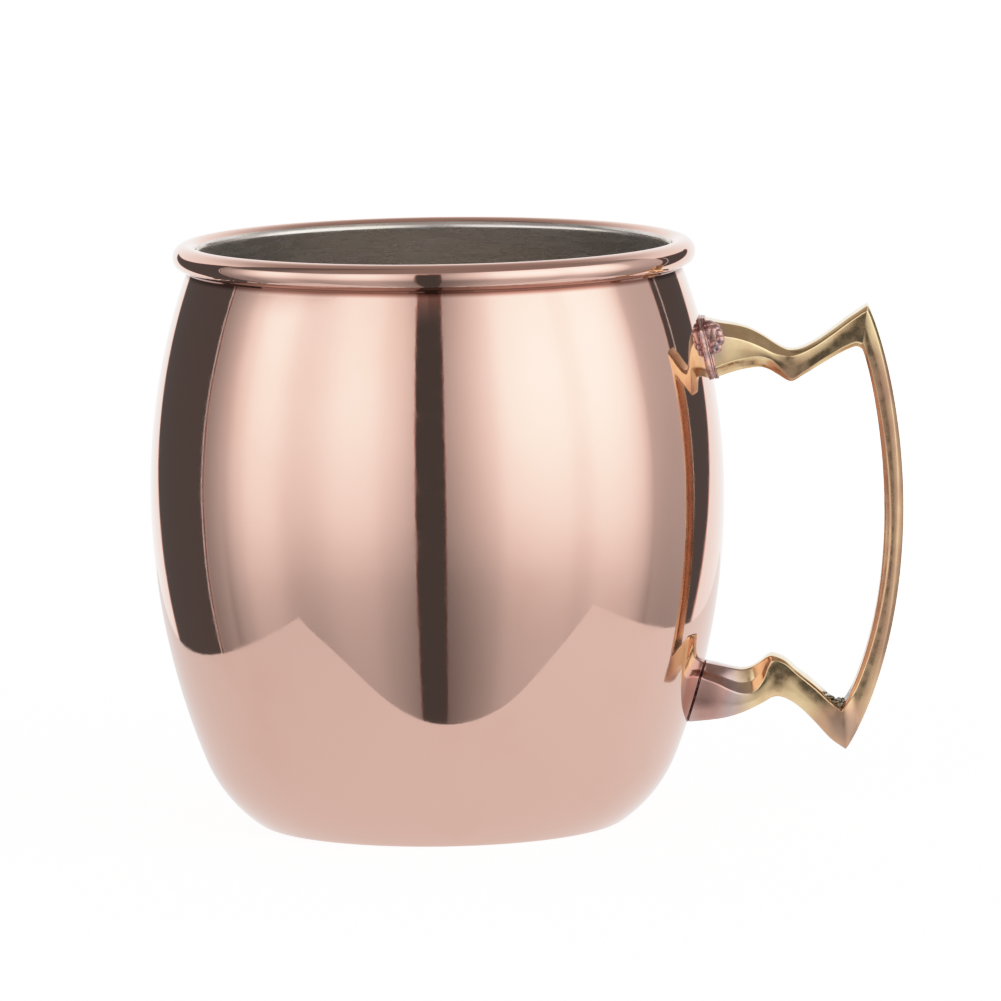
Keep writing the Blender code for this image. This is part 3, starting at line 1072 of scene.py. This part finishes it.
def back_light(n, turn, climb, side):
    """The tent behind the mug, with a leaning gap on each side. Also says where the gaps are."""
    low_climb = n.math("MAXIMUM", n.math("MINIMUM", climb, LEAN_HEIGHTS[1]), LEAN_HEIGHTS[0])
    left_back = n.math("ADD", turn, n.math("MULTIPLY", low_climb, LEFT_GAP_LEAN))
    right_back = n.math("SUBTRACT", turn, n.math("MULTIPLY", low_climb, RIGHT_GAP_LEAN))
    past_left = rise(n, turn, LEFT_GAP[1], 0.8)
    left_gap = n.math("SUBTRACT", rise(n, left_back, LEFT_GAP[0], 1.2), past_left)
    past_right = rise(n, right_back, RIGHT_GAP[1], 1.2)
    right_gap = n.math("SUBTRACT", rise(n, turn, RIGHT_GAP[0], 0.8), past_right)
    gap_top = n.blend(side, n.curve(turn, LEFT_GAP_TOP), n.curve(turn, RIGHT_GAP_TOP))
    below_top = rise(n, n.math("SUBTRACT", gap_top, climb), 0.0, 1.0)
    gaps = n.math("MULTIPLY", n.math("ADD", left_gap, right_gap), below_top)
    glints = n.math("ADD", *(within(n, turn, span, 0.25) for span in GLINTS))
    in_gaps = n.math("ADD", n.math("MULTIPLY", glints, GLINT_LIGHT), GAP_LIGHT)
    return n.blend(gaps, n.curve(climb, BACK_LIGHT), in_gaps), gaps


def make_world():
    """A light tent with a slot for the camera and two gaps. The camera itself sees it white."""
    world = bpy.data.worlds.new("light_tent")
    bpy.context.scene.world = world
    world.use_nodes = True
    n = Nodes(world.node_tree)
    coordinate = n.add("ShaderNodeTexCoord")
    split = n.add("ShaderNodeSeparateXYZ")
    n.link(coordinate.outputs["Generated"], split.inputs["Vector"])
    toward = n.math("MULTIPLY", split.outputs["Y"], -1.0)
    turn = n.math("MULTIPLY", n.math("ARCTAN2", split.outputs["X"], toward), math.degrees(1.0))
    turn = n.math("SUBTRACT", turn, math.degrees(CAMERA_TURN))
    climb = n.math("MULTIPLY", n.math("ARCSINE", split.outputs["Z"]), math.degrees(1.0))
    side = rise(n, turn, SIDES_MEET, 0.5)

    front, slot = front_light(n, turn, climb, side)
    back, gaps = back_light(n, turn, climb, side)
    in_front = within(n, turn, (LEFT_GAP[1], RIGHT_GAP[0]), 0.8)
    light = n.blend(in_front, back, front)

    edges = n.math("ADD", slot, n.math("MULTIPLY", gaps, n.math("SUBTRACT", 1.0, in_front)))
    fringe = n.math("MULTIPLY", n.math("MULTIPLY", edges, n.math("SUBTRACT", 1.0, edges)), 4.0)
    seen = n.add("ShaderNodeLightPath").outputs["Is Camera Ray"]
    background = n.tree.nodes["Background"]
    tint = n.mix(rise(n, climb, OVERHEAD, 10.0), (1.0, 1.0, 1.0), OVERHEAD_TINT)
    tint = n.mix(n.math("MULTIPLY", fringe, n.math("SUBTRACT", 1.0, seen)), tint, FRINGE)
    n.link(tint, background.inputs["Color"])
    n.link(n.blend(seen, light, SEEN_WHITE), background.inputs["Strength"])


# How the picture's highlights roll off: scene brightness against display brightness
BRIGHTEST = 2.0
ALL_CHANNELS = 3
ROLL_OFF = ((0.5, 0.5), (0.7, 0.68), (0.92, 0.84), (1.25, 0.955), (1.6, 1.0))


def set_picture_tone():
    """Lets highlights roll off softly, and leaves everything darker as it is."""
    view = bpy.context.scene.view_settings
    view.view_transform = "Standard"
    view.use_curve_mapping = True
    mapping = view.curve_mapping
    mapping.white_level = (BRIGHTEST, BRIGHTEST, BRIGHTEST)
    curve = mapping.curves[ALL_CHANNELS]
    for scene_light, shown in ROLL_OFF:
        curve.points.new(scene_light / BRIGHTEST, shown)
    for point in curve.points:
        straight = point.location.x <= ROLL_OFF[0][0] / BRIGHTEST
        point.handle_type = "VECTOR" if straight else "AUTO_CLAMPED"
    mapping.update()


set_picture_tone()
make_camera()
make_floor()
make_board()
make_world()
copper_cup()
nickel_lining()
brass_handle()
brazed_joints()
